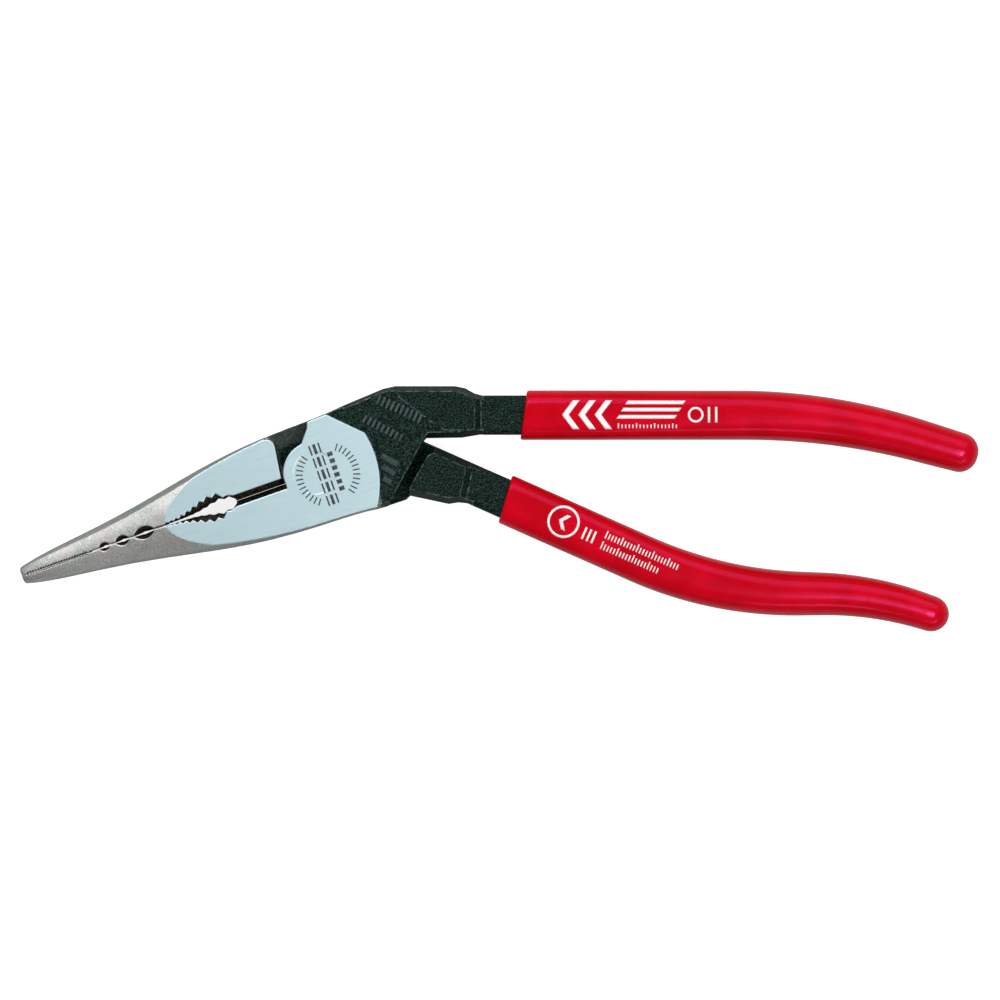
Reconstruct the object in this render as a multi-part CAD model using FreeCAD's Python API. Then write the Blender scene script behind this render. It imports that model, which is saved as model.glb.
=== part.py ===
"""Long-nose combination pliers with bent handles: two forged levers, one rivet, two dipped grips.

Frame: the rivet's axis is Z and the straight shank of the front lever runs along +X.  The origin is
on the rivet's axis, at the underside that the tool lies on.  The jaws point towards -X and down.
Sizes are millimetres and angles are degrees.

The jaws are drawn in a head frame: u runs along the closed jaws, away from the tip, and v is square
to it, towards the upper jaw.  The head frame is the row frame turned by jaw_tilt about the rivet.
The front lever is the lower jaw, the lap in front (high Z) and the upper handle.  The rear lever is
the upper jaw, the lap behind and the lower handle.
"""

import FreeCAD
import Part
import math
import os

V = FreeCAD.Vector
UP = V(0, 0, 1)
FAR = 200.0                    # beyond the tool in any direction
CLEAR = 1.0                    # how far a cutting shape reaches past the surface that it cuts

# Head
head_thick = 9.6               # over the ground faces
jaw_tilt = 19.3                # closed jaws against the front shank
jaw_length = 51.8              # rivet to tip
flat_start = 26.2              # rivet to where the ground faces run out on the nose
tip_half_width = 1.4
tip_half_thick = 1.6
tip_round = 0.45
root_from_rivet = 13.0         # where the long taper of the nose ends
root_half_width = 7.8
cheek_from_rivet = 4.3
cheek_half_width = 8.5
neck_behind_rivet = 8.0
neck_half_width = 9.1
flank_widths = (0.40, 0.90, 1.00, 0.70, 0.42, 0.35)   # seen from above: tip, nose, nose, root, cheek, neck
nose_shares = (0.34, 0.68)     # where the nose has its sections, from the tip to the root
nose_hollow = 0.1              # how far those sections lie inside the straight taper
crown_drop = 0.08              # crowned top to the crease beside it
crown_curve = 0.025            # and how that grows with the square of the half width
grind_margin = 0.4             # blank left above the ground faces at the cheek
neck_grind_margin = 0.5        # and at the neck

# Joint
rivet_r = 2.8
rivet_head_r = 3.45
rivet_head_deep = 0.9
rivet_clear = 0.03             # running clearance in the rear lever
lap_gap = 0.06                 # between the two lap faces
disc_r = 5.25                  # round end of each lap
disc_leave = 96.0              # where the lap's edge leaves the disc for the horn
shoulder_gap = 0.45            # lap disc to the other lever's shoulder, on the jaw line
shoulder_lean = 0.9            # how far the shoulder leans back over its height
shoulder_height = 6.3
shoulder_round = 1.3
corner_middle = (0.31, 0.9)    # shoulder's corner arc: its middle, in shares of the rounding
corner_end = (1.0, 1.25)       # and its end
horn_side = 1.2                # edge of the lap beside the shoulder's travel
horn_start = 7.4
horn_top_side = 1.7
horn_lean_run = 1.4            # over which the horn's edge leans back

# Jaw faces
face_clear = 0.03              # each closed gripping face to the jaw line
relief = 0.13                  # the same between the fine teeth and the pipe grip
tooth_pitch = 0.47
tooth_deep = 0.32              # at the outside; the notches run out towards the middle
tooth_full = 1.5               # height above the middle from which the notches are full depth
tooth_middle = 0.06            # share of the depth that is left in the middle
tooth_count = 23
tooth_from_tip = 0.9
hollow_places = (0.22, 0.45, 0.73)     # along the stretch between fine teeth and pipe grip
hollow_chords = (1.9, 2.5, 3.8)
hollow_depths = (0.72, 0.85, 1.08)
hollow_middle = 0.2            # what is left of each hollow in the middle of the jaw
relief_run = 0.4               # slope from the last fine tooth to the relief
pipe_start = 26.3              # rivet to the pipe grip's tip end
pipe_end = 14.0
pipe_deep = 2.3
pipe_shallow = 0.35
pipe_tooth_count = 10
pipe_pitch_growth = 1.1
pipe_tooth_lean = 0.45         # place of each tooth's root along its pitch
pipe_swell_end = 0.93          # the deepest part lies near the rivet's end of the grip
pipe_swell_power = 2.05
pipe_least = 0.05              # least depth below the relief
pipe_tooth_small = 0.3
pipe_tooth_large = 0.7
pipe_middle = 0.9              # share of the depth that is left in the middle, at the wide end
groove_half = 0.95             # cutter's groove at the ground face
groove_middle = 0.3            # share of its half width where the pipe grip runs into it
groove_wall = 2.2              # its straight depth before the cutting bevel
edge_land = 0.15               # half thickness of the cutting edge

# Forged necks and shanks
boss_step = 0.6                # ground boss above the forged neck
panel_step = 0.2               # ground boss above the raised thumb panel
neck_flank = 0.75
shank_flank = 1.0
wide_flank = 1.1
lap_back_gap = 3.0             # lap's free edge to the other lever's full thickness
lap_back_end = 3.6             # where that edge ends, before the upper tang
neck_start_back = 4.0          # a forging's edges start inside the blank, before the neck
neck_end_back = 0.4
neck_start_in = 0.5
boss_top = (5.0, 0.65)         # ground boss: its upper corner, as (u, distance inside the neck's edge)
boss_top_run = 0.6
boss_side = (10.0, 3.5)
boss_bulge = (10.35, -2.0)
boss_foot = (8.3, 1.0)         # its lower corner, as boss_top
boss_foot_run = 0.4

# Outlines of the forgings behind the neck.  Edges of the upper shank are (distance before the tang,
# distance outside the tang's side, flank); points of the head are (u, distance outside the neck's edge).
upper_inner_edge = ((10.3, 1.55, 0.35), (9.5, 0.6, 1.0), (3.6, 0.5, 1.0), (0.6, 0.0, 1.0))
upper_outer_edge = ((1.5, 0.4, 1.0), (3.0, 1.25, 1.0), (4.7, 1.6, 1.0), (14.7, 1.6, 0.75))
upper_free_foot = (9.6, 0.1)
upper_neck_point = (15.2, 0.45)
lower_outer_edge = ((10.0, 2.7, 1.0), (3.6, 1.35, 1.0), (2.2, 0.45, 1.0), (0.8, 0.0, 1.0))
lower_neck_point = (12.8, 0.1)
lower_crotch_x = 4.6           # where the lower shank's inner edge starts
panel_front = ((13.8, 4.3), (13.9, 2.9), (19.6, -1.4), (21.5, -2.6))   # thumb panel: (x, above the axis)
panel_back = 30.0
lower_full_front = ((-9.3, 2.05), (-9.95, 1.4), (-10.6, -4.7), (-10.2, -5.6), (-9.3, -6.1))
step_run = 1.0                 # slope from the shank's thickness to the tang's

# Handles
grip_width = 8.2
grip_thick = 7.8
grip_wall = 0.85               # dipped coat over the tang
grip_end_wall = 2.0
grip_corner = 2.5
grip_end_round = 2.3           # far end; at most the corner less corner_land
corner_land = 0.2
grip_lip_round = 0.45
thick_taper = 0.8              # a grip's thickness narrows by this share of its width
bend_sections = 13
grip_front_slant = 7.5
tang_corner = 1.1
butt = 0.02                    # overlap where one shape runs into the next
upper_axis_y = 9.63            # upper shank's axis above the rivet
upper_shank_end = 27.9         # where the upper shank has narrowed to its tang
upper_step_x = 26.5            # where it steps down to the tang's thickness
upper_front_x = 34.6           # front edge of the upper grip
upper_run = ((42.9, 0.0), (29.9, -16.1), (10.3, 0.0))      # (length, turn) of each stretch
upper_end_width = 6.4
lower_heading = -23.9
lower_axis = (27.3, -2.42)     # where the lower shank has narrowed to its tang
lower_step_back = 2.9          # its thickness steps down before that
lower_step_turn = 12.0
lower_front = 4.65             # from there to the front edge of the lower grip
lower_run = ((29.3, 0.0), (27.3, 23.1), (3.7, 0.0), (17.0, -17.4), (4.6, 0.0))
lower_end_width = 5.75
taper_power = 1.6

half = head_thick / 2
tang_width = grip_width - 2 * grip_wall
tang_thick = grip_thick - 2 * grip_wall


def turned(x, y, angle):
    """The point (x, y) turned about the origin."""
    c, s = math.cos(math.radians(angle)), math.sin(math.radians(angle))
    return x * c - y * s, x * s + y * c


def at_head(u, v):
    """A head-frame point in the row frame."""
    return turned(u, v, jaw_tilt)


def face_of(edges):
    return Part.Face(Part.Wire(Part.__sortEdges__(edges)))


def prism(points, low, high):
    """The straight prism over a polygon, from z = low to z = high."""
    ring = [V(x, y, low) for x, y in points]
    return Part.Face(Part.makePolygon(ring + ring[:1])).extrude(V(0, 0, high - low))


def mirrored(shape):
    """The shape's mirror image in the head's middle plane."""
    return shape.mirror(V(0, 0, half), UP)


def turned_over(shape):
    """A head-frame shape turned half a turn about the jaw line, from one lever to the other."""
    copy = shape.copy()
    copy.rotate(V(0, 0, half), V(1, 0, 0), 180)
    return copy


def in_row(shape):
    """A head-frame shape put into the row frame."""
    copy = shape.copy()
    copy.rotate(V(0, 0, 0), UP, jaw_tilt)
    return copy


# ---------------------------------------------------------------- head blank

def half_thickness(distance):
    """Half the thickness of the unground blank along its middle, at a distance from the rivet."""
    rise = (half - tip_half_thick) / (jaw_length - flat_start)
    return tip_half_thick + rise * (jaw_length - distance)


def head_section(u, half_width, crown, flank):
    """A closed section of both jaws together: a crowned top, a steep flank, and their mirror images."""
    crease = half_width - flank
    shoulder = crown - crown_drop - crown_curve * crease ** 2
    corners = [V(u, s * crease, half + t * shoulder) for s, t in ((-1, 1), (1, 1), (1, -1), (-1, -1))]
    middles = [V(u, 0, half + crown), V(u, half_width, half), V(u, 0, half - crown), V(u, -half_width, half)]
    arcs = []
    for i, middle in enumerate(middles):
        arcs.append(Part.Arc(corners[i], middle, corners[(i + 1) % 4]).toShape())
    return Part.Wire(arcs)


def head_blank():
    """Both jaws and cheeks in one piece, ground flat on both sides."""
    stations = [(-jaw_length, tip_half_width, tip_half_thick)]
    for share in nose_shares:
        distance = jaw_length + share * (root_from_rivet - jaw_length)
        width = tip_half_width + share * (root_half_width - tip_half_width) - nose_hollow
        stations.append((-distance, width, half_thickness(distance)))
    root = half_thickness(root_from_rivet)
    stations.append((-root_from_rivet, root_half_width, root))
    stations.append((-cheek_from_rivet, cheek_half_width, root + grind_margin))
    stations.append((neck_behind_rivet, neck_half_width, root + neck_grind_margin))
    nose = Part.makeLoft([head_section(*s, flank) for s, flank in zip(stations, flank_widths)], True)
    tip_edges = [e for e in nose.Edges if e.BoundBox.XMax < -jaw_length + 0.01]
    nose = nose.makeFillet(tip_round, tip_edges)
    slab = Part.makeBox(2 * FAR, 2 * FAR, head_thick, V(-FAR, -FAR, 0))      # between the ground faces
    return nose.common(slab)


# ---------------------------------------------------------------- plan regions of the front lever

def lap_region():
    """Where the front lever may have metal in its own layer: below the jaw line, round the disc, behind."""
    start = math.asin(face_clear / disc_r)
    leave = math.radians(disc_leave)
    half_way = math.radians((180.0 + disc_leave) / 2)
    on_disc = V(-disc_r * math.cos(start), -face_clear, 0)
    over = V(disc_r * math.cos(half_way), disc_r * math.sin(half_way), 0)
    off_disc = V(disc_r * math.cos(leave), disc_r * math.sin(leave), 0)
    arc = Part.Arc(on_disc, over, off_disc).toShape()
    rest = [off_disc, V(horn_side, horn_start, 0), V(horn_top_side, horn_start + horn_lean_run, 0),
            V(horn_top_side, FAR, 0), V(FAR, FAR, 0), V(FAR, -FAR, 0), V(-FAR, -FAR, 0),
            V(-FAR, -face_clear, 0), on_disc]
    return face_of([arc] + Part.makePolygon(rest).Edges)


def jaw_region():
    """The front lever's jaw, which is as thick as the head, up to its shoulder behind the other disc."""
    low = -disc_r - shoulder_gap
    high = low + shoulder_lean
    turn, end = [V(high - back * shoulder_round, -shoulder_height - down * shoulder_round, 0)
                 for back, down in (corner_middle, corner_end)]
    corner = Part.Arc(V(high, -shoulder_height, 0), turn, end).toShape()
    rest = [end, V(end.x, -FAR, 0), V(-FAR, -FAR, 0), V(-FAR, -face_clear, 0),
            V(low, -face_clear, 0), V(high, -shoulder_height, 0)]
    return face_of([corner] + Part.makePolygon(rest).Edges)


def boss_surround():
    """Everything behind the front lever's ground boss, where the forging is left lower."""
    top = V(boss_top[0], neck_half_width - boss_top[1], 0)
    side = V(boss_side[0], boss_side[1], 0)
    foot = V(boss_foot[0], boss_foot[1] - neck_half_width, 0)
    arc = Part.Arc(side, V(boss_bulge[0], boss_bulge[1], 0), foot).toShape()
    rest = [foot, V(foot.x - boss_foot_run, -FAR, 0), V(FAR, -FAR, 0), V(FAR, FAR, 0),
            V(top.x - boss_top_run, FAR, 0), top, side]
    return face_of([arc] + Part.makePolygon(rest).Edges)


def pulled(face, low, high):
    """A flat region pulled up from z = low to z = high."""
    copy = face.copy()
    copy.translate(V(0, 0, low))
    return copy.extrude(V(0, 0, high - low))


# ---------------------------------------------------------------- jaw faces

def narrowing_cut(rows, middle_rows, full_from):
    """A cut into the front lever's face that gets shallower towards the middle plane.

    Both lists hold (u, depth) along the jaw, with as many points in each.  The cut has its outer
    depth from full_from above the middle.
    """
    rings = []
    for points, z in ((rows, half + full_from), (middle_rows, half)):
        ring = [V(points[0][0], CLEAR, z)] + [V(u, -deep, z) for u, deep in points]
        ring.append(V(points[-1][0], CLEAR, z))
        rings.append(Part.makePolygon(ring + ring[:1]))
    upper = Part.makeLoft(rings, True, True)
    above = half + CLEAR - full_from
    upper = upper.fuse(Part.Face(rings[0]).extrude(V(0, 0, above)))
    return [upper, mirrored(upper)]


def fine_teeth():
    """The row of small V notches near the tip."""
    start = -jaw_length + tooth_from_tip
    outer, middle = [(start, face_clear)], [(start, face_clear)]
    for i in range(tooth_count):
        for ahead, deep in ((0.5, tooth_deep), (1.0, 0.0)):
            u = start + (i + ahead) * tooth_pitch
            outer.append((u, face_clear + deep))
            middle.append((u, face_clear + tooth_middle * deep))
    return narrowing_cut(outer, middle, tooth_full)


def teeth_end():
    return -jaw_length + tooth_from_tip + tooth_count * tooth_pitch


def face_relief():
    """A shallow relief between the fine teeth and the pipe grip."""
    a, b = teeth_end(), -pipe_start
    plan = [(a, CLEAR), (a + relief_run, -relief), (b, -relief), (b, CLEAR)]
    return prism(plan, -CLEAR, head_thick + CLEAR)


def hollows():
    """Three rounded hollows that narrow from both sides towards the middle of the jaw."""
    a, b = teeth_end(), -pipe_start
    cuts = []
    for place, chord, deep in zip(hollow_places, hollow_chords, hollow_depths):
        r = (chord ** 2 / 4 + deep ** 2) / (2 * deep)
        u = a + place * (b - a)
        small = r - deep + hollow_middle
        height = half + CLEAR
        large = small + (r - small) * height / half_thickness(-u)
        cone = Part.makeCone(small, large, height, V(u, r - deep, half), UP)
        cuts += [cone, mirrored(cone)]
    return cuts


def pipe_grip():
    """The toothed pipe grip: open at both ground faces, narrower in the middle."""
    total = sum(pipe_pitch_growth ** i for i in range(pipe_tooth_count))
    length = pipe_start - pipe_end
    pitch = length / total
    outer, middle, u = [(-pipe_start, relief)], [(-pipe_start, relief)], -pipe_start
    for i in range(pipe_tooth_count):
        step = pitch * pipe_pitch_growth ** i
        tooth = pipe_tooth_small + (pipe_tooth_large - pipe_tooth_small) * i / (pipe_tooth_count - 1)
        for ahead, lift in ((pipe_tooth_lean, 0.0), (1.0, tooth)):
            t = (u + ahead * step + pipe_start) / length
            swell = math.sin(math.pi * min(t, pipe_swell_end) ** pipe_swell_power)
            deep = max(pipe_shallow + (pipe_deep - pipe_shallow) * swell - lift, relief + pipe_least)
            outer.append((u + ahead * step, deep))
            middle.append((u + ahead * step, relief + pipe_middle * t ** 2 * deep))
        u += step
    outer[-1] = (-pipe_end, groove_half)
    middle[-1] = (-pipe_end, groove_half * groove_middle)
    return narrowing_cut(outer, middle, half)


def cutter_groove():
    """The groove on both sides of the cutting edge, from the pipe grip to the disc."""
    end = -disc_r * math.cos(math.asin(groove_half / disc_r))
    top, knee, edge = head_thick + CLEAR, head_thick - groove_wall, half + edge_land
    start = -pipe_end - butt
    section = ((CLEAR, top), (-groove_half, top), (-groove_half, knee), (-face_clear, edge), (CLEAR, edge))
    ring = [V(start, v, z) for v, z in section]
    upper = Part.Face(Part.makePolygon(ring + ring[:1])).extrude(V(end - start, 0, 0))
    return [upper, mirrored(upper)]


# ---------------------------------------------------------------- forged necks and shanks

def inset(points, insets):
    """The polygon moved inwards, edge by edge.  Points run anticlockwise; insets[i] is for edge i."""
    lines = []
    for i, (x, y) in enumerate(points):
        nx, ny = points[(i + 1) % len(points)]
        length = math.hypot(nx - x, ny - y)
        dx, dy = (nx - x) / length, (ny - y) / length
        lines.append((x - dy * insets[i], y + dx * insets[i], dx, dy))
    moved = []
    for i in range(len(points)):
        x1, y1, dx1, dy1 = lines[i - 1]
        x2, y2, dx2, dy2 = lines[i]
        cross = dx1 * dy2 - dy1 * dx2
        along = ((x2 - x1) * dy2 - (y2 - y1) * dx2) / cross
        moved.append((x1 + along * dx1, y1 + along * dy1))
    return moved


def drafted(outline, insets, top):
    """A forging's half: the outline at the middle plane, drawn in by its flanks at z = top."""
    rings = []
    for points, z in ((outline, half), (inset(outline, insets), top)):
        ring = [V(x, y, z) for x, y in points]
        rings.append(Part.makePolygon(ring + ring[:1]))
    return Part.makeLoft(rings, True, True)


def thickness_profile(origin, heading):
    """A long bar as thick as the shank before the step, and as thick as the tang after it."""
    low, high = half - tang_thick / 2, half + tang_thick / 2
    top = head_thick + CLEAR
    profile = [(-FAR, -CLEAR), (0, -CLEAR), (0, panel_step), (step_run, low), (FAR, low),
               (FAR, high), (step_run, high), (0, head_thick - panel_step), (0, top), (-FAR, top)]
    ring = [V(x, -FAR, z) for x, z in profile]
    bar = Part.Face(Part.makePolygon(ring + ring[:1])).extrude(V(0, 2 * FAR, 0))
    bar.rotate(V(0, 0, 0), UP, heading)
    bar.translate(V(origin[0], origin[1], 0))
    return bar


def neck(side):
    """Two points where a forging's edge grows out of the head blank."""
    return [at_head(neck_behind_rivet - neck_start_back, side * (neck_half_width - neck_start_in)),
            at_head(neck_behind_rivet - neck_end_back, side * neck_half_width)]


def by_neck(point, side):
    """A point (u, distance outside the neck's edge) in the row frame."""
    return at_head(point[0], side * (neck_half_width + point[1]))


def upper_outline():
    """The front lever behind its disc: (point, flank of the edge that starts there), anticlockwise."""
    t = tang_width / 2
    x, y = upper_shank_end, upper_axis_y
    inner = [((x - back, y - t - out), flank) for back, out, flank in upper_inner_edge]
    outer = [((x - back, y + t + out), flank) for back, out, flank in upper_outer_edge]
    front = [(neck(-1)[0], neck_flank), (neck(-1)[1], neck_flank), (by_neck(upper_free_foot, -1), 0.0)]
    tang_end = [((x, y - t), 0.0), ((x, y + t), shank_flank)]
    back = [(by_neck(upper_neck_point, 1), neck_flank), (neck(1)[1], neck_flank), (neck(1)[0], 0.0)]
    return front + inner + tang_end + outer + back


def lower_edge_at(x):
    """Height of the lower shank's inner edge, a straight line that is also its lap's free edge."""
    slope = math.tan(math.radians(lower_heading))
    offset = tang_width / 2 / math.cos(math.radians(lower_heading))
    return lower_axis[1] + offset + slope * (x - lower_axis[0])


def beside_lower(along, across):
    """A point of the lower shank's own frame in the row frame."""
    x, y = turned(along, across, lower_heading)
    return lower_axis[0] + x, lower_axis[1] + y


def lower_outline():
    """The rear lever behind its disc, as upper_outline."""
    t = tang_width / 2
    outer = [(beside_lower(-back, -t - out), flank) for back, out, flank in lower_outer_edge]
    front = [(neck(-1)[0], neck_flank), (neck(-1)[1], neck_flank),
             (by_neck(lower_neck_point, -1), neck_flank)]
    tang_end = [(beside_lower(0.0, -t), 0.0), (beside_lower(0.0, t), wide_flank)]
    crotch = (lower_crotch_x, lower_edge_at(lower_crotch_x))
    return front + outer + tang_end + [(crotch, neck_flank), (neck(1)[0], 0.0)]


# ---------------------------------------------------------------- handles

def walk(start, heading, runs, distance):
    """(x, y, heading) at a distance along a path of straight runs and tangent arcs."""
    x, y = start
    for length, turn in runs:
        step = min(distance, length)
        if turn:
            r = length / math.radians(turn)
            sweep = turn * step / length
            dx = r * math.sin(math.radians(sweep))
            dy = r * (1 - math.cos(math.radians(sweep)))
        else:
            sweep, dx, dy = 0.0, step, 0.0
        tx, ty = turned(dx, dy, heading)
        x, y, heading = x + tx, y + ty, heading + sweep
        distance -= step
        if distance <= 0:
            break
    return x, y, heading


def bar_section(x, y, heading, width, thick, corner):
    """A rounded rectangle square to the handle's path."""
    w, t = width / 2, thick / 2
    edges = []
    bend = []
    for sw, st in ((1, 1), (-1, 1), (-1, -1), (1, -1)):
        c = V(0, sw * (w - corner), st * (t - corner))
        a, b = V(0, sw * w, c.z), V(0, c.y, st * t)
        first, last = (a, b) if sw * st > 0 else (b, a)
        mid = c + V(0, sw * corner, st * corner) * math.sqrt(0.5)
        bend.append((first, mid, last))
    for i, (first, mid, last) in enumerate(bend):
        edges.append(Part.Arc(first, mid, last).toShape())
        edges.append(Part.makeLine(last, bend[(i + 1) % 4][0]))
    wire = Part.Wire(edges)
    wire.rotate(V(0, 0, 0), UP, heading)
    wire.translate(V(x, y, half))
    return wire


def bar(start, heading, runs, last, shrink, corner, end_width):
    """A handle bar along its path, from its start to a distance along it.

    shrink is what is left off all round.  The bar keeps its size along the first stretch and
    narrows along the others.
    """
    total = sum(length for length, _ in runs)
    first = runs[0][0]

    def section(s):
        x, y, turn = walk(start, heading, runs, s)
        share = max(s - first, 0.0) / (total - first)
        narrower = (grip_width - end_width) * share ** taper_power
        width = grip_width - narrower - 2 * shrink
        thick = grip_thick - thick_taper * narrower - 2 * shrink
        return bar_section(x, y, turn, width, thick, corner)

    begin = turned(-butt, 0.0, heading)
    straight = section(0.0)
    straight.translate(V(begin[0], begin[1], 0))
    run = turned(first + butt, 0.0, heading)
    straight = Part.Face(straight).extrude(V(run[0], run[1], 0))
    step = (last - first) / (bend_sections - 1)
    sections = [section(first + i * step) for i in range(bend_sections)]
    return straight.fuse(Part.makeLoft(sections, True))


def far_cap(solid, x, y):
    """The flat face whose middle is nearest to a place in plan."""
    flat = [f for f in solid.Faces if f.Surface.TypeId == "Part::GeomPlane"]
    return min(flat, key=lambda f: f.CenterOfMass.distanceToPoint(V(x, y, half)))


def handle(start, heading, runs, front, slant, end_width):
    """(tang, grip): the bare bar from the shank, and the dipped coat over its far end."""
    total = sum(length for length, _ in runs)
    tang = bar(start, heading, runs, total - grip_end_wall, grip_wall, tang_corner, end_width)
    coat = bar(start, heading, runs, total, 0.0, grip_corner, end_width)
    x, y, turn = walk(start, heading, runs, total)
    end_round = min(grip_end_round, grip_corner - corner_land)
    coat = coat.makeFillet(end_round, far_cap(coat, x, y).Edges)
    x, y, turn = walk(start, heading, runs, front)
    keep = Part.makeBox(FAR, 2 * FAR, 2 * FAR, V(0, -FAR, -FAR))
    keep.rotate(V(0, 0, 0), UP, turn + slant)
    keep.translate(V(x, y, 0))
    coat = coat.common(keep)
    coat = coat.makeFillet(grip_lip_round, far_cap(coat, x, y).Edges)
    return tang, coat.cut(tang)


# ---------------------------------------------------------------- rivet

def rivet_shape(clear):
    """The rivet with both its flush heads, grown all round by clear."""
    top = head_thick + (CLEAR if clear else 0.0)
    grow = rivet_head_r - rivet_r
    slope = grow / rivet_head_deep
    reach = slope * (top - head_thick)
    profile = [(0, half), (rivet_r + clear, half), (rivet_r + clear, head_thick - rivet_head_deep),
               (rivet_head_r + clear + reach, top), (0, top)]
    ring = [V(x, 0, z) for x, z in profile]
    upper = Part.Face(Part.makePolygon(ring + ring[:1])).revolve(V(0, 0, 0), UP, 360)
    return upper.fuse(mirrored(upper)).removeSplitter()


# ---------------------------------------------------------------- levers

def jaw_cuts():
    """Everything that is cut into the front lever's gripping and cutting faces."""
    return fine_teeth() + [face_relief()] + hollows() + pipe_grip() + cutter_groove()


def front_lever(blank, tang):
    outline = upper_outline()
    points = [p for p, _ in outline]
    flanks = [f for _, f in outline]
    forging = drafted(points, flanks, head_thick)
    low, high = panel_front[-1][1], panel_front[0][1]
    panel_plan = [(x, upper_axis_y + y) for x, y in panel_front + ((panel_back, low), (panel_back, high))]
    panel = prism(panel_plan, half + CLEAR, head_thick - panel_step).common(forging)
    surround = in_row(pulled(boss_surround(), head_thick - boss_step, head_thick + CLEAR))
    forging = forging.fuse(mirrored(drafted(points, flanks, head_thick)))
    solid = blank.fuse(forging).cut(surround).fuse(panel)
    solid = solid.common(thickness_profile((upper_step_x, upper_axis_y), 0.0)).fuse(tang)
    end = upper_shank_end - lap_back_end
    gap = lap_back_gap / math.cos(math.radians(lower_heading))
    back_line = [(x, lower_edge_at(x) + gap) for x in (0.0, end)]
    shank_plan = back_line + [(end, -FAR), (FAR, -FAR), (FAR, FAR), (0.0, FAR)]
    top = head_thick + CLEAR
    keep = in_row(pulled(lap_region(), half + lap_gap / 2, top))
    keep = keep.fuse([in_row(pulled(jaw_region(), -CLEAR, top)), prism(shank_plan, -CLEAR, top)])
    solid = solid.common(keep)
    solid = solid.cut([in_row(c) for c in jaw_cuts()])
    return solid.cut(rivet_shape(0.0)).removeSplitter()


def rear_lever(blank, tang):
    outline = lower_outline()
    points = [p for p, _ in outline]
    flanks = [f for _, f in outline]
    forging = drafted(points, flanks, head_thick)
    top = head_thick + CLEAR
    surround = in_row(turned_over(pulled(boss_surround(), head_thick - boss_step, top)))
    solid = blank.fuse([forging, mirrored(forging)]).cut(surround)
    step = thickness_profile(beside_lower(-lower_step_back, 0.0), lower_heading + lower_step_turn)
    solid = solid.common(step).fuse(tang)
    lap = in_row(turned_over(pulled(lap_region(), half + lap_gap / 2, top)))
    jaw = in_row(turned_over(pulled(jaw_region(), -CLEAR, top)))
    first, last = lower_full_front[0][0], lower_full_front[-1][0]
    plan = ((first, FAR),) + lower_full_front + ((last, -FAR), (FAR, -FAR), (FAR, FAR))
    keep = lap.fuse([jaw, prism([beside_lower(*p) for p in plan], -CLEAR, top)])
    solid = solid.common(keep)
    solid = solid.cut([in_row(turned_over(c)) for c in jaw_cuts()])
    return solid.cut(rivet_shape(rivet_clear)).removeSplitter()


def build():
    blank = in_row(head_blank())
    upper_tang, upper_grip = handle((upper_shank_end, upper_axis_y), 0.0, upper_run,
                                    upper_front_x - upper_shank_end, -grip_front_slant, upper_end_width)
    lower_tang, lower_grip = handle(lower_axis, lower_heading, lower_run, lower_front,
                                    grip_front_slant, lower_end_width)
    return {
        "front_lever": front_lever(blank, upper_tang),
        "rear_lever": rear_lever(blank, lower_tang),
        "rivet": rivet_shape(0.0),
        "upper_grip": upper_grip,
        "lower_grip": lower_grip,
    }


os.makedirs("parts", exist_ok=True)
for name, shape in build().items():
    shape.exportStep("parts/" + name + ".step")
    print(name, "solids", len(shape.Solids), "valid", shape.isValid(), "volume", round(shape.Volume, 1))
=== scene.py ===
import math

import bmesh
import bpy
from mathutils import Matrix, Vector


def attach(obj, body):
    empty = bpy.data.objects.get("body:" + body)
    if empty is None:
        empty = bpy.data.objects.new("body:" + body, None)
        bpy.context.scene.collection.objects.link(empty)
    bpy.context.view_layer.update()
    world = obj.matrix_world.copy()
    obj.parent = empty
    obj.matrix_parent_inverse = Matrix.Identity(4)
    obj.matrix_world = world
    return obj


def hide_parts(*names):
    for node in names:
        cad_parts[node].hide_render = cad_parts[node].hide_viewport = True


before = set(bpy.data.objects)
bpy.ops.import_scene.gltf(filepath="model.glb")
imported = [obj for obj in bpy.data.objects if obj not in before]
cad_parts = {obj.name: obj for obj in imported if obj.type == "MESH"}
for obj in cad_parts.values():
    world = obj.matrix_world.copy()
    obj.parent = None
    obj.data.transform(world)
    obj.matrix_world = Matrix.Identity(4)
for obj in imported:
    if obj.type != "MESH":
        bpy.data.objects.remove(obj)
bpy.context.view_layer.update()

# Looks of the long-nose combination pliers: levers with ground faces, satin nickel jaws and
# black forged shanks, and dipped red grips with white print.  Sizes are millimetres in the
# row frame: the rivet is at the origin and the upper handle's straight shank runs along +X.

MM = 0.001
head_thick = 9.6
middle = head_thick / 2
jaw_length = 51.8
print_cell = 0.4                       # print is divided finely enough to follow the grip
jaw_tilt = math.radians(19.3)          # closed jaws against the upper shank
forged_top = 9.0                       # forged neck around the ground boss
mark_lift = 0.012                      # laser marking above the ground face
mark_thick = 0.01                      # marking and ink
ink_lift = 0.02                        # print above the grip's skin
print_start_lift = 1.0                 # print is projected down from this far above the grip
seam = 0.01                            # points this near are one point

# Dipped grips
grip_width, grip_thick, grip_corner = 8.2, 7.8, 2.5
grip_wall = 0.85
grip_end_wall = 2.0
grip_end_round = 2.9
grip_lip_round = 0.4
grip_slant = math.radians(7.5)
thick_taper = 0.8                      # thickness narrows by this share of the width
corner_segments = 8
side_cuts = 5
side_edge = 1.0                        # the section's straight sides are longer than this
oval_from = 12.0                       # behind the lip, where the section starts to turn oval
oval_gain = 1.6                        # how soon it is fully oval
slant_fades_over = 4.0                 # the skin behind the lip turns square over this length
taper_power = 1.6
ring_step = 1.25
dome_steps = 9
end_roundness = 0.75                   # how far the section turns oval towards the far end
lip_steps = 4

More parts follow.
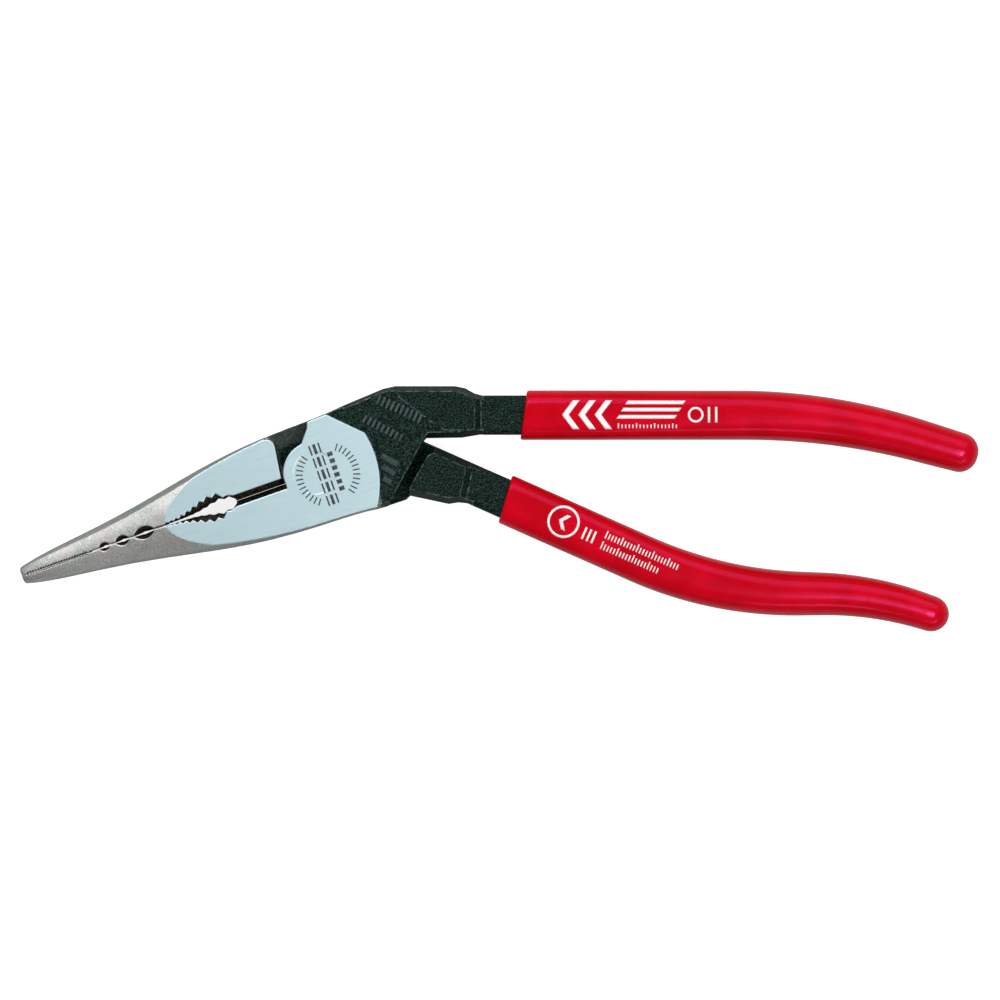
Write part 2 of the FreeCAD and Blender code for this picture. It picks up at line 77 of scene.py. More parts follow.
upper_grip = {
    "start": (27.9, 9.63), "heading": 0.0, "front": 6.7, "slant": -grip_slant, "end_width": 6.4,
    "runs": ((42.9, 0.0), (29.9, -16.1), (10.3, 0.0)),
}
lower_grip = {
    "start": (27.3, -2.42), "heading": -23.9, "front": 4.65, "slant": grip_slant, "end_width": 5.75,
    "runs": ((29.3, 0.0), (27.3, 23.1), (3.7, 0.0), (17.0, -17.4), (4.6, 0.0)),
}


# ------------------------------------------------------------------ meshes

def finished(bm, name, material, body, smooth=True):
    """Turns a bmesh in millimetres into a piece in metres that rides on a body."""
    bmesh.ops.scale(bm, vec=(MM, MM, MM), verts=bm.verts)
    for face in bm.faces:
        face.smooth = smooth
    mesh = bpy.data.meshes.new(name)
    bm.to_mesh(mesh)
    bm.free()
    mesh.materials.append(material)
    piece = bpy.data.objects.new(name, mesh)
    bpy.context.scene.collection.objects.link(piece)
    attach(piece, body)
    return piece


def place_along(handle, distance):
    """The frame at a distance along a handle's straight runs and arcs, its X along the handle."""
    x, y = handle["start"]
    place = Matrix.Translation((x, y, middle)) @ Matrix.Rotation(math.radians(handle["heading"]), 4, "Z")
    for length, turn in handle["runs"]:
        step = min(distance, length)
        if turn:
            to_centre = Matrix.Translation((0, length / math.radians(turn), 0))
            sweep = Matrix.Rotation(math.radians(turn) * step / length, 4, "Z")
            place = place @ to_centre @ sweep @ to_centre.inverted()
        else:
            place = place @ Matrix.Translation((step, 0, 0))
        distance -= step
        if distance <= 0:
            break
    return place


def ring_place(handle, distance, inset):
    """Puts the full section at a distance along the handle, drawn in all round by inset."""
    first = handle["runs"][0][0]
    total = sum(length for length, _ in handle["runs"])
    share = max(distance - first, 0.0) / (total - first)
    narrower = (grip_width - handle["end_width"]) * share ** taper_power
    width = grip_width - narrower - 2 * inset
    thick = grip_thick - thick_taper * narrower - 2 * inset
    fade = max(0.0, 1 - (distance - handle["front"]) / slant_fades_over)
    slant = handle["slant"] * fade
    size = Matrix.Diagonal((1, width / grip_width / math.cos(slant), thick / grip_thick, 1))
    return place_along(handle, distance) @ Matrix.Rotation(slant, 4, "Z") @ size


def next_ring(bm, ring, move):
    """Extrudes a ring of edges and moves the new ring."""
    made = bmesh.ops.extrude_edge_only(bm, edges=ring)["geom"]
    verts = {g for g in made if isinstance(g, bmesh.types.BMVert)}
    bmesh.ops.transform(bm, matrix=move, verts=list(verts))
    return [g for g in made if isinstance(g, bmesh.types.BMEdge) and set(g.verts) <= verts]


def rounder(verts, place, share):
    """Draws a ring's corners in towards an oval."""
    back = place.inverted()
    for vert in verts:
        at = back @ vert.co
        reach = math.hypot(2 * at.y / grip_width, 2 * at.z / grip_thick)
        draw_in = 1 + share * (1 / reach - 1)
        vert.co = place @ Vector((at.x, at.y * draw_in, at.z * draw_in))


def grip_rings(handle):
    """(distance, inset) of each ring of the coat, from deep inside round the lip to the far end."""
    front = handle["front"]
    total = sum(length for length, _ in handle["runs"])
    rings = []
    count = int((total - grip_end_wall - front) / ring_step)
    for i in range(count, -1, -1):
        rings.append((front + i * (total - grip_end_wall - front) / count, grip_wall))
    for i in range(lip_steps + 1):
        turn = math.radians(90 * i / lip_steps)
        rings.append((front + grip_lip_round * (1 - math.cos(turn)), grip_lip_round * (1 - math.sin(turn))))
    skin_from, skin_to = front + 2 * grip_lip_round, total - grip_end_round
    count = int((skin_to - skin_from) / ring_step)
    for i in range(count + 1):
        rings.append((skin_from + i * (skin_to - skin_from) / count, 0.0))
    for i in range(1, dome_steps + 1):
        turn = math.radians(90 * i / dome_steps)
        inset = grip_end_round * (1 - math.cos(turn))
        rings.append((skin_to + grip_end_round * math.sin(turn), inset))
    return rings


def dipped_coat(handle, name, node, body, material):
    """A hollow coat swept along the handle, with a rounded lip in front and a domed far end."""
    bm = bmesh.new()
    upright = Matrix(((0, 0, 1, 0), (1, 0, 0, 0), (0, 1, 0, 0), (0, 0, 0, 1)))
    bmesh.ops.create_grid(bm, x_segments=1, y_segments=1, size=0.5, matrix=upright)
    bmesh.ops.scale(bm, vec=(1, grip_width, grip_thick), verts=bm.verts)
    bmesh.ops.bevel(bm, geom=bm.verts[:], affect="VERTICES", offset=grip_corner, offset_type="OFFSET",
                    segments=corner_segments, profile=0.5, material=-1)
    long_edges = [e for e in bm.edges if e.calc_length() > side_edge]
    bmesh.ops.subdivide_edges(bm, edges=long_edges, cuts=side_cuts)
    bmesh.ops.delete(bm, geom=bm.faces[:], context="FACES_ONLY")
    ring = bm.edges[:]
    rings = grip_rings(handle)
    places = [ring_place(handle, *r) for r in rings]
    bmesh.ops.transform(bm, matrix=places[0], verts=bm.verts)
    made = [{v for e in ring for v in e.verts}]
    for before, after in zip(places, places[1:]):
        ring = next_ring(bm, ring, after @ before.inverted())
        made.append({v for e in ring for v in e.verts})
    bmesh.ops.contextual_create(bm, geom=list(made[0]))
    total = sum(length for length, _ in handle["runs"])
    oval_run = total - handle["front"] - oval_from
    for (distance, inset), place, verts in zip(rings, places, made):
        if inset < grip_wall or distance > total - grip_end_round:
            share = max(0.0, distance - handle["front"] - oval_from) / oval_run
            rounder(verts, place, end_roundness * min(1.0, oval_gain * share))
    bmesh.ops.contextual_create(bm, geom=ring)
    bmesh.ops.recalc_face_normals(bm, faces=bm.faces)
    piece = finished(bm, name, material, body)
    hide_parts(node)
    return piece


def bar_mark(bm, start, end, width, low, high, round_off):
    """A raised bar with rounded edges, from start to end in plan."""
    run = Vector(end) - Vector(start)
    centre = (Vector(start) + Vector(end)) / 2
    verts = bmesh.ops.create_cube(bm, size=1.0)["verts"]
    bmesh.ops.scale(bm, vec=(run.length, width, high - low), verts=verts)
    edges = list({e for v in verts for e in v.link_edges})
    made = bmesh.ops.bevel(bm, geom=edges, affect="EDGES", offset=round_off, offset_type="OFFSET",
                           segments=2, profile=0.5, material=-1)
    verts = list({v for f in made["faces"] for v in f.verts})
    turn = Matrix.Rotation(math.atan2(run.y, run.x), 4, "Z")
    place = Matrix.Translation((centre.x, centre.y, (low + high) / 2)) @ turn
    bmesh.ops.transform(bm, matrix=place, verts=verts)


def flat_bar(bm, place, x, y, length, width, lean=0.0):
    """A flat bar of print or marking, centred at (x, y) in its own frame; lean slides its ends."""
    made = bmesh.ops.create_grid(bm, x_segments=math.ceil(length / print_cell),
                                 y_segments=math.ceil(width / print_cell), size=0.5)
    slide = Matrix.Identity(4)
    slide[0][1] = lean
    shape = Matrix.Translation((x, y, 0)) @ slide @ Matrix.Diagonal((length, width, 1, 1))
    bmesh.ops.transform(bm, matrix=place @ shape, verts=made["verts"])


def flat_ring(bm, place, x, y, radius, width, segments=48):
    """A flat ring of print or marking."""
    made = bmesh.ops.create_circle(bm, cap_ends=True, segments=segments, radius=radius)
    face = made["verts"][0].link_faces[0]
    inner = bmesh.ops.inset_region(bm, faces=[face], thickness=width, use_boundary=True, use_even_offset=True)
    verts = {v for f in inner["faces"] for v in f.verts} | set(face.verts)
    bmesh.ops.delete(bm, geom=[face], context="FACES_ONLY")
    bmesh.ops.transform(bm, matrix=place @ Matrix.Translation((x, y, 0)), verts=list(verts))


def plan_place(x, y, turn, z):
    return Matrix.Translation((x, y, z)) @ Matrix.Rotation(math.radians(turn), 4, "Z")


# ------------------------------------------------------------------ shading tools

def connect(tree, socket, value):
    """Links a socket to another, or sets its constant."""
    if isinstance(value, bpy.types.NodeSocket):
        tree.links.new(value, socket)
    else:
        socket.default_value = value


def add(tree, kind, inputs=None, **settings):
    """A node with its settings; inputs are constants or sockets to link, by name or number."""
    node = tree.nodes.new(kind)
    for key, value in settings.items():
        setattr(node, key, value)
    for key, value in (inputs or {}).items():
        connect(tree, node.inputs[key], value)
    return node


def maths(tree, operation, a, b=0.0):
    return add(tree, "ShaderNodeMath", {0: a, 1: b}, operation=operation).outputs[0]


def ramp_up(tree, value, low, high):
    """0 below low, 1 above high, and smooth between."""
    node = add(tree, "ShaderNodeMapRange", {"Value": value, "From Min": low, "From Max": high},
               interpolation_type="SMOOTHSTEP")
    return node.outputs["Result"]


def ramp_down(tree, value, low, high):
    """1 below low, 0 above high, and smooth between."""
    return maths(tree, "SUBTRACT", 1.0, ramp_up(tree, value, low, high))


def times(tree, first, *others):
    """The product of two or more values."""
    for other in others:
        first = maths(tree, "MULTIPLY", first, other)
    return first


def mixed(tree, kind, title, share, a, b):
    node = add(tree, "ShaderNodeMix", data_type=kind)
    sockets = {s.identifier: s for s in node.inputs}
    for key, value in (("Factor_Float", share), ("A_" + title, a), ("B_" + title, b)):
        connect(tree, sockets[key], value)
    return next(s for s in node.outputs if s.identifier == "Result_" + title)


def blended(tree, share, a, b):
    """Colour a where share is 0, colour b where it is 1."""
    return mixed(tree, "RGBA", "Color", share, a, b)


def blended_value(tree, share, a, b):
    """Value a where share is 0, value b where it is 1."""
    return mixed(tree, "FLOAT", "Float", share, a, b)


def new_group(name, inputs, outputs):
    """(group, its input node, its output node); sockets are (name, type, default)."""
    group = bpy.data.node_groups.new(name, "ShaderNodeTree")
    for title, kind, default in inputs:
        socket = group.interface.new_socket(title, in_out="INPUT", socket_type=kind)
        if default is not None:
            socket.default_value = default
    for title, kind in outputs:
        group.interface.new_socket(title, in_out="OUTPUT", socket_type=kind)
    return group, group.nodes.new("NodeGroupInput"), group.nodes.new("NodeGroupOutput")


def use(tree, group, inputs=None):
    """An instance of a group in a tree; inputs as in add()."""
    return add(tree, "ShaderNodeGroup", inputs, node_tree=group)


def positions_group():
    """Positions in millimetres: in the row frame, and along the closed jaws."""
    group, _, end = new_group("Positions", [],
                              [("Row", "NodeSocketVector"), ("Head", "NodeSocketVector")])
    place = add(group, "ShaderNodeTexCoord").outputs["Object"]
    row = add(group, "ShaderNodeVectorMath", {0: place, "Scale": 1 / MM}, operation="SCALE").outputs[0]
    head = add(group, "ShaderNodeMapping", {"Vector": row, "Rotation": (0, 0, -jaw_tilt)}).outputs[0]
    group.links.new(row, end.inputs["Row"])
    group.links.new(head, end.inputs["Head"])
    return group


def grain_group():
    """Fine speckle over a slower mottle; Grain and Mottle lie around 0.5."""
    group, start, end = new_group(
        "Grain",
        [("Vector", "NodeSocketVector", None), ("Speckle Size", "NodeSocketFloat", 0.2),
         ("Mottle Size", "NodeSocketFloat", 2.0)],
        [("Grain", "NodeSocketFloat"), ("Mottle", "NodeSocketFloat")])
    for title, size, detail in (("Grain", "Speckle Size", 3.0), ("Mottle", "Mottle Size", 4.0)):
        scale = maths(group, "DIVIDE", 1.0, start.outputs[size])
        noise = add(group, "ShaderNodeTexNoise",
                    {"Vector": start.outputs["Vector"], "Scale": scale, "Detail": detail, "Roughness": 0.6})
        group.links.new(noise.outputs[0], end.inputs[title])
    return group


def brushed_group():
    """Fine grinding lines along X, with a few deeper scratches."""
    group, start, end = new_group(
        "Grinding Lines",
        [("Vector", "NodeSocketVector", None), ("Line Width", "NodeSocketFloat", 0.08)],
        [("Lines", "NodeSocketFloat"), ("Scratches", "NodeSocketFloat")])
    drawn_out = add(group, "ShaderNodeMapping",
                    {"Vector": start.outputs["Vector"], "Scale": (0.02, 1.0, 1.0)})
    scale = maths(group, "DIVIDE", 1.0, start.outputs["Line Width"])
    lines = add(group, "ShaderNodeTexNoise", {"Vector": drawn_out.outputs[0], "Scale": scale, "Detail": 4.0,
                                              "Roughness": 0.7})
    turned = add(group, "ShaderNodeMapping", {"Vector": start.outputs["Vector"],
                                              "Rotation": (0, 0, math.radians(7)), "Scale": (0.05, 1.0, 1.0)})
    rare = add(group, "ShaderNodeTexNoise", {"Vector": turned.outputs[0], "Scale": 5.0, "Detail": 2.0})
    group.links.new(lines.outputs[0], end.inputs["Lines"])
    group.links.new(ramp_up(group, rare.outputs[0], 0.63, 0.7), end.inputs["Scratches"])
    return group


def bare_edges_and_highlight_group():
    """Where an outer edge is bared by wear, a mask the nickel also uses for a painted highlight, and the
    normal rounded over the edges.
    """
    group, start, end = new_group(
        "Bare Edges And Highlight",
        [("Vector", "NodeSocketVector", None), ("Width", "NodeSocketFloat", 0.2)],
        [("Bareness And Highlight", "NodeSocketFloat"), ("Normal", "NodeSocketVector")])
    radius = maths(group, "MULTIPLY", start.outputs["Width"], MM)
    rounded = add(group, "ShaderNodeBevel", {"Radius": radius}, samples=8).outputs[0]
    flat = add(group, "ShaderNodeNewGeometry").outputs["Normal"]
    facing = add(group, "ShaderNodeVectorMath", {0: rounded, 1: flat}, operation="DOT_PRODUCT")
    facing = facing.outputs["Value"]
    turned_away = ramp_up(group, maths(group, "SUBTRACT", 1.0, facing), 0.004, 0.05)
    patchy = add(group, "ShaderNodeTexNoise", {"Vector": start.outputs["Vector"], "Scale": 1.1, "Detail": 5.0,
                                               "Roughness": 0.7})
    bared = ramp_up(group, patchy.outputs[0], 0.40, 0.72)
    group.links.new(maths(group, "MULTIPLY", turned_away, bared), end.inputs["Bareness And Highlight"])
    group.links.new(rounded, end.inputs["Normal"])
    return group


positions = positions_group()
grain = grain_group()
grinding_lines = brushed_group()
bare_edges_and_highlight = bare_edges_and_highlight_group()


def new_material(name):
    material = bpy.data.materials.new(name)
    material.use_nodes = True
    tree = material.node_tree
    shader = next(n for n in tree.nodes if n.type == "BSDF_PRINCIPLED")
    return material, tree, shader


# ------------------------------------------------------------------ materials

ground_light = (0.54, 0.69, 0.73, 1)
ground_dark = (0.45, 0.61, 0.66, 1)
nickel_light = (0.74, 0.77, 0.73, 1)
nickel_dark = (0.28, 0.31, 0.28, 1)
nickel_warm = (0.66, 0.56, 0.58, 1)
nickel_edge_highlight = (0.92, 0.84, 0.88, 1)
forged_light = (0.038, 0.082, 0.066, 1)
forged_dark = (0.001, 0.003, 0.003, 1)
bare_edge_and_highlight = (0.26, 0.36, 0.35, 1)
forged_tint = (0.5, 0.6, 0.57, 1)
forged_gloss, red_gloss = 0.08, 0.45
slit_shade_black = (0.004, 0.004, 0.004, 1)
groove_brown = (0.22, 0.17, 0.13, 1)
red_deep = (0.56, 0.001, 0.004, 1)
red_bright = (0.68, 0.001, 0.008, 1)
red_tint = (1.0, 0.15, 0.60, 1)
red_rough = (0.15, 0.25)
wave_deep, pore_deep = 0.05, 0.006
scuff_rough = 0.08
print_thin = (0.90, 0.84, 0.84, 1)
print_full = (0.98, 0.98, 0.97, 1)
print_rough, laser_rough, rough_spread = 0.45, 0.5, 0.15
laser_thin = (0.10, 0.11, 0.12, 1)
laser_full = (0.018, 0.020, 0.024, 1)


# Regions of a lever in its head frame, each as the two ends of a soft border
ground_from_middle = (middle - 0.012, middle - 0.006)
boss_end = (11.5, 12.0)
nickel_jaw_end = (-6.0, -3.0)
nickel_cheek_end = (8.5, 10.5)
cheek_side = (5.6, 6.2)
front_half = (0.0, 0.2)
bite_taper = 0.095                     # bite faces widen with the distance from the tip
bite_side = (0.55, 0.62)
bite_tip = (0.5, 0.7)
steep = (0.70, 0.80)
disc_edge = (-4.9, -4.6)
groove_side = (0.96, 1.0)
groove_start = (-14.3, -14.0)
high_spots = (forged_top + 0.12, forged_top + 0.3)
uneven_border = 3.0                    # how far the nickel's border wanders
speckle, mottle_size = 0.22, 2.4
scale_speckle, scale_mottle = 0.26, 3.5
line_width = 0.1                       # grinding lines
edge_width = 0.32                      # edge wear, and the painted highlight on nickel edges
line_spread = (0.30, 0.62)
line_deep = 0.004
scale_deep, nickel_deep = 0.16, 0.012
ground_rough = (0.34, 0.46)
forged_rough_ends = (0.42, 0.62)
nickel_rough, bite_rough = 0.40, 0.85
scratch_share, mottle_share, warm_share, edge_highlight_share = 0.35, 0.3, 0.5, 0.8
wear_and_highlight_metal = 0.6                       # how metallic the edge wear and the painted highlight on the forging look


def lever_steel(name, own_side, own_half, raised_top_highlight=0.0):
    """One lever: ground faces, nickel jaw and cheek with a painted highlight along its edges, black forging,
    and gripping faces and cutter groove painted dark as shade.

    own_side is -1 where the lever's jaw lies below the jaw line, +1 above it; own_half is +1 where
    its joint disc is the one in front.  The last argument lightens the tops of raised marks on the forging: a
    painted highlight.
    """
    material, tree, shader = new_material(name)
    where = use(tree, positions)
    row, head = where.outputs["Row"], where.outputs["Head"]
    at = add(tree, "ShaderNodeSeparateXYZ", {0: head})
    u, v, z = at.outputs[0], at.outputs[1], at.outputs[2]
    facing = add(tree, "ShaderNodeSeparateXYZ",
                 {0: add(tree, "ShaderNodeNewGeometry").outputs["Normal"]}).outputs[2]
    level = maths(tree, "ABSOLUTE", facing)
    specks = use(tree, grain, {"Vector": row, "Speckle Size": speckle, "Mottle Size": mottle_size})
    scale_skin = use(tree, grain, {"Vector": row, "Speckle Size": scale_speckle, "Mottle Size": scale_mottle})
    lines = use(tree, grinding_lines, {"Vector": head, "Line Width": line_width})
    edges = use(tree, bare_edges_and_highlight, {"Vector": row, "Width": edge_width})

    # Regions
    above_middle = maths(tree, "SUBTRACT", z, middle)
    ground = times(tree, ramp_up(tree, maths(tree, "ABSOLUTE", above_middle), *ground_from_middle),
                   ramp_down(tree, u, *boss_end))
    uneven = maths(tree, "ADD", u, times(tree, specks.outputs["Mottle"], uneven_border))
    outward = ramp_up(tree, times(tree, v, own_side), *cheek_side)
    in_front = ramp_up(tree, times(tree, above_middle, own_half), *front_half)
    cheek = times(tree, ramp_down(tree, uneven, *nickel_cheek_end), outward, in_front)
    nickel = maths(tree, "MAXIMUM", ramp_down(tree, uneven, *nickel_jaw_end), cheek)
    off_line = maths(tree, "ABSOLUTE", v)
    from_tip = maths(tree, "ADD", u, jaw_length)
    beyond_teeth = maths(tree, "SUBTRACT", off_line, times(tree, from_tip, bite_taper))
    before_disc = ramp_down(tree, u, *disc_edge)
    bite = times(tree, ramp_down(tree, beyond_teeth, *bite_side), ramp_up(tree, from_tip, *bite_tip),
                 ramp_down(tree, level, *steep), before_disc)
    in_groove = times(tree, ramp_down(tree, off_line, *groove_side), ramp_up(tree, u, *groove_start),
                      before_disc)

    # Colours
    ground_colour = blended(tree, ramp_up(tree, lines.outputs["Lines"], *line_spread), ground_dark,
                            ground_light)
    ground_colour = blended(tree, times(tree, lines.outputs["Scratches"], scratch_share), ground_colour,
                            ground_dark)
    nickel_colour = blended(tree, ramp_up(tree, specks.outputs["Grain"], 0.25, 0.68), nickel_dark,
                            nickel_light)
    mottle = times(tree, ramp_up(tree, specks.outputs["Mottle"], 0.5, 0.75), mottle_share)
    nickel_colour = blended(tree, mottle, nickel_colour, nickel_dark)
    warm = times(tree, ramp_up(tree, scale_skin.outputs["Mottle"], 0.42, 0.62), warm_share)
    nickel_colour = blended(tree, warm, nickel_colour, nickel_warm)
    # Painted highlight: the nickel is lightened to pinkish white along its edges.
    nickel_colour = blended(tree, times(tree, edges.outputs["Bareness And Highlight"], edge_highlight_share), nickel_colour, nickel_edge_highlight)
    forged_colour = blended(tree, ramp_up(tree, scale_skin.outputs["Grain"], 0.40, 0.74), forged_dark,
                            forged_light)
    # Painted highlight: the tops of raised marks on the forging are lightened, then mixed with the edge wear.
    painted_high_spot = times(tree, ramp_up(tree, z, *high_spots), raised_top_highlight, scale_skin.outputs["Mottle"])
    wear_and_highlight = maths(tree, "MAXIMUM", edges.outputs["Bareness And Highlight"], painted_high_spot)
    forged_colour = blended(tree, wear_and_highlight, forged_colour, bare_edge_and_highlight)
    # Painted shade: the steep gripping faces and the cutter groove's walls turn near black, flecked with the
    # brown of their rough surface.
    bite_colour = blended(tree, ramp_up(tree, specks.outputs["Grain"], 0.47, 0.62), slit_shade_black, groove_brown)
    colour = blended(tree, nickel, forged_colour, nickel_colour)
    colour = blended(tree, maths(tree, "MAXIMUM", bite, in_groove), colour, bite_colour)
    colour = blended(tree, ground, colour, ground_colour)

    # Gloss
    bare = maths(tree, "MAXIMUM", nickel, times(tree, wear_and_highlight, wear_and_highlight_metal))
    metal = maths(tree, "MAXIMUM", ground, times(tree, bare, maths(tree, "SUBTRACT", 1.0, bite)))
    rough = blended_value(tree, specks.outputs["Mottle"], *forged_rough_ends)
    rough = blended_value(tree, nickel, rough, nickel_rough)
    rough = blended_value(tree, bite, rough, bite_rough)
    rough = blended_value(tree, ground, rough, blended_value(tree, lines.outputs["Lines"], *ground_rough))
    connect(tree, shader.inputs["Base Color"], colour)
    connect(tree, shader.inputs["Metallic"], metal)
    shader.inputs["Specular Tint"].default_value = forged_tint
    shader.inputs["Specular IOR Level"].default_value = forged_gloss
    connect(tree, shader.inputs["Roughness"], rough)

    # Relief
    deep_grain = blended_value(tree, nickel, times(tree, scale_skin.outputs["Grain"], scale_deep),
                               times(tree, specks.outputs["Grain"], nickel_deep))
    height = blended_value(tree, ground, deep_grain, times(tree, lines.outputs["Lines"], line_deep))
    bump = add(tree, "ShaderNodeBump", {"Height": height, "Distance": MM, "Strength": 1.0,
                                        "Normal": edges.outputs["Normal"]})
    connect(tree, shader.inputs["Normal"], bump.outputs[0])
    return material


def ground_rivet():
    """The rivet's flush heads, ground with the faces, on a plain steel shank."""
    material, tree, shader = new_material("ground_rivet")
    where = use(tree, positions)
    lines = use(tree, grinding_lines, {"Vector": where.outputs["Head"], "Line Width": line_width})
    colour = blended(tree, ramp_up(tree, lines.outputs["Lines"], *line_spread), ground_dark, ground_light)
    connect(tree, shader.inputs["Base Color"], colour)
    shader.inputs["Metallic"].default_value = 1.0
    connect(tree, shader.inputs["Roughness"], blended_value(tree, lines.outputs["Lines"], *ground_rough))
    height = times(tree, lines.outputs["Lines"], line_deep)
    bump = add(tree, "ShaderNodeBump", {"Height": height, "Distance": MM, "Strength": 1.0})
    connect(tree, shader.inputs["Normal"], bump.outputs[0])
    return material


def dipped_red():
    """Glossy dipped plastic: even red with faint flow waves, fine pores and handling scuffs."""
    material, tree, shader = new_material("dipped_red")
    row = use(tree, positions).outputs["Row"]
    skin = use(tree, grain, {"Vector": row, "Speckle Size": 0.5, "Mottle Size": 7.0})
    scuffs = use(tree, grinding_lines, {"Vector": row, "Line Width": 0.3})
    colour = blended(tree, ramp_up(tree, skin.outputs["Mottle"], 0.35, 0.7), red_deep, red_bright)
    connect(tree, shader.inputs["Base Color"], colour)
    rough = blended_value(tree, skin.outputs["Mottle"], *red_rough)
    rough = maths(tree, "ADD", rough, times(tree, scuffs.outputs["Scratches"], scuff_rough))
    connect(tree, shader.inputs["Roughness"], rough)
    shader.inputs["Specular IOR Level"].default_value = red_gloss
    shader.inputs["Specular Tint"].default_value = red_tint
    waves = times(tree, skin.outputs["Mottle"], wave_deep)
    pores = times(tree, skin.outputs["Grain"], pore_deep)
    bump = add(tree, "ShaderNodeBump", {"Height": maths(tree, "ADD", waves, pores), "Distance": MM,
                                        "Strength": 1.0})
    connect(tree, shader.inputs["Normal"], bump.outputs[0])
    return material


def ink(name, thin, full, roughness):
    """Print or laser marking, a little uneven over its area."""
    material, tree, shader = new_material(name)
    row = use(tree, positions).outputs["Row"]
    cover = use(tree, grain, {"Vector": row, "Speckle Size": 0.25, "Mottle Size": 1.5})
    colour = blended(tree, ramp_up(tree, cover.outputs["Grain"], 0.3, 0.55), thin, full)
    connect(tree, shader.inputs["Base Color"], colour)
    connect(tree, shader.inputs["Roughness"],
            blended_value(tree, cover.outputs["Mottle"], roughness, roughness + rough_spread))
    return material


front_steel = lever_steel("front_lever_steel", -1, 1)
rear_steel = lever_steel("rear_lever_steel", 1, -1)
relief_steel = lever_steel("forged_marks_steel", -1, 1, raised_top_highlight=0.45)
rivet_steel = ground_rivet()
red_pvc = dipped_red()
white_ink = ink("white_print", print_thin, print_full, print_rough)
laser_dark = ink("laser_marking", laser_thin, laser_full, laser_rough)

for node, material in (("front_lever", front_steel), ("rear_lever", rear_steel), ("rivet", rivet_steel)):
    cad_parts[node].material_slots[0].material = material

# ------------------------------------------------------------------ pieces

upper_coat = dipped_coat(upper_grip, "upper_dipped_grip", "upper_grip", "front_body", red_pvc)
lower_coat = dipped_coat(lower_grip, "lower_dipped_grip", "lower_grip", "rear_body", red_pvc)


tall_tick, tall_every = 1.35, 5
print_lean = 0.75                      # how far print leans for its height
print_from = middle + grip_thick / 2 + print_start_lift
mark_from = head_thick + mark_lift


def printed(bm, name, coat, body):
    """Lays flat print on a grip's upper side and gives it the thickness of ink."""
    bmesh.ops.remove_doubles(bm, verts=bm.verts, dist=seam)
    bmesh.ops.recalc_face_normals(bm, faces=bm.faces)
    piece = finished(bm, name, white_ink, body)
    lay = piece.modifiers.new("lay", "SHRINKWRAP")
    lay.target = coat
    lay.wrap_method = "PROJECT"
    lay.use_project_z = True
    lay.use_negative_direction = True
    lay.use_positive_direction = False
    lay.offset = ink_lift * MM
    thick = piece.modifiers.new("ink", "SOLIDIFY")
    thick.thickness = mark_thick * MM
    thick.offset = 1.0
    return piece


def tick_row(bm, place, start, y, count, pitch, width, height):
    """A plain scale of upright ticks, every few of them taller."""
    for i in range(count):
        extra = tall_tick if i % tall_every == 0 else 1.0
        flat_bar(bm, place, start + i * pitch, y + height * (extra - 1) / 2, width, height * extra)


def upper_print():
    """Three chevrons and three lines over a fine scale, then a ring and a pair of bars."""
    bm = bmesh.new()
    place = plan_place(0, upper_grip["start"][1], 0, print_from)
    for i in range(3):
        for side in (-1, 1):
            flat_bar(bm, place, 42.4 + 2.7 * i, side * 1.2, 1.1, 2.4, lean=side * print_lean)
    for y in (2.05, 0.85, -0.35):
        flat_bar(bm, place, 55.2 + 0.6 * y, y, 9.6, 0.6, lean=print_lean)
    tick_row(bm, place, 50.3, -1.95, 17, 0.6, 0.2, 0.62)
    flat_ring(bm, place, 63.1, 0.0, 1.3, 0.36)
    for x in (65.3, 66.5):
        flat_bar(bm, place, x, 0.0, 0.38, 2.6)
    return printed(bm, "upper_print", upper_coat, "front_body")


def lower_print():
    """A ringed chevron, three bars and two fine scales along the grip."""
    bm = bmesh.new()
    place = plan_place(41.2, -8.1, lower_grip["heading"], print_from)
    flat_ring(bm, place, 0.0, 0.0, 2.7, 0.4)
    for side in (-1, 1):
        flat_bar(bm, place, 0.0, side * 0.65, 0.7, 1.3, lean=side * print_lean)
    for x in (3.9, 4.75, 5.6):
        flat_bar(bm, place, x, -0.35, 0.36, 2.1)
    tick_row(bm, place, 7.4, 0.75, 24, 0.56, 0.22, 1.0)
    tick_row(bm, place, 7.4, -1.15, 19, 0.56, 0.22, 1.0)
    return printed(bm, "lower_print", lower_coat, "rear_body")


dial_ticks = 40
dial_radius = 4.75
dial_gap = 34                          # degrees left open beside the row of blocks, on each side


def laser_marks():
    """A ring of ticks, a row of blocks and a row of dashes across the front joint face."""
    bm = bmesh.new()
    across = math.degrees(jaw_tilt) - 90
    place = plan_place(2.2, -0.3, across, mark_from)
    for i in range(dial_ticks):
        turn = 360 * i / dial_ticks
        if dial_gap <= turn % 180 <= 180 - dial_gap:
            tick = place @ Matrix.Rotation(math.radians(turn), 4, "Z")
            flat_bar(bm, tick, dial_radius, 0.0, 1.2, 0.22)
    row = plan_place(1.5, -0.25, across, mark_from)
    for x in (-4.4, -2.2, 0.0, 2.2, 4.4):
        for y, width in ((0.0, 0.5), (0.8, 0.28), (-0.8, 0.28)):
            flat_bar(bm, row, x, y, 1.7, width)
    small = plan_place(3.5, 0.3, across, mark_from)
    for x in (-3.0, -1.8, -0.6, 0.6, 1.8, 3.0):
        flat_bar(bm, small, x, 0.0, 0.7, 0.9)
    piece = finished(bm, "laser_marks", laser_dark, "front_body", smooth=False)
    thick = piece.modifiers.new("depth", "SOLIDIFY")
    thick.thickness = mark_thick * MM
    thick.offset = -1.0
    return piece


